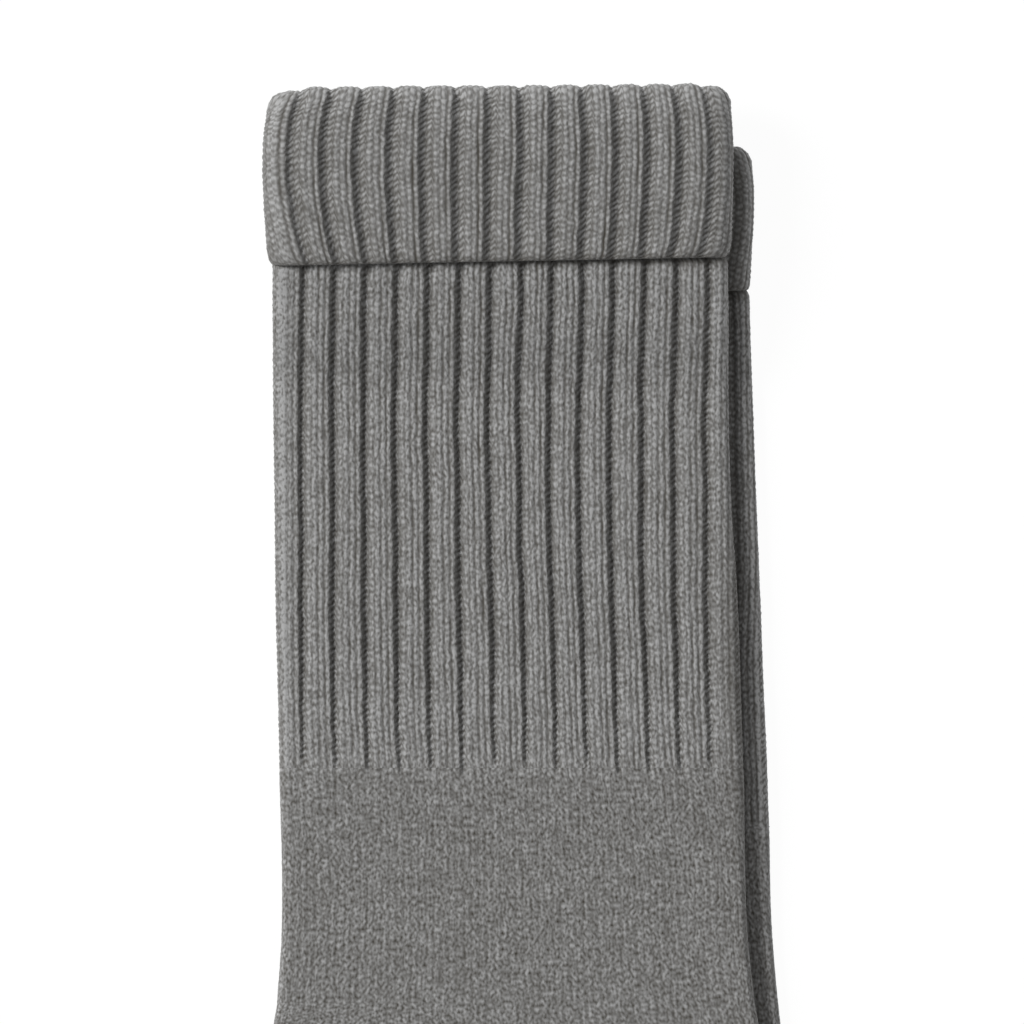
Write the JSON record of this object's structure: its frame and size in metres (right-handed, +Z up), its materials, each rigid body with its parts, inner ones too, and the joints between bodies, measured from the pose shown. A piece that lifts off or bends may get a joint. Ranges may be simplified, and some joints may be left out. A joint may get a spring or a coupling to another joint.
{
  "type": "pair of calf socks",
  "caption": "Ribbed wool calf socks lying flat one on the other, tops turned down into ribbed cuffs, with plain ankles and feet.",
  "frame": {"origin": "middle of the pair's base, on the surface that the lower sock lies on", "axes": "+Y runs up the legs to the folded tops, +X is the heels' side and -X the toes' side, +Z is up from the surface"},
  "size_m": [0.2264, 0.342, 0.0175],
  "materials": {
    "grey_wool": "matte melange wool knit, wide ribs on the cuff and leg, plain stocking stitch below"
  },
  "bodies": {
    "root": {"upper_sock": "grey_wool", "lower_sock": "grey_wool"}
  },
  "joints": []
}
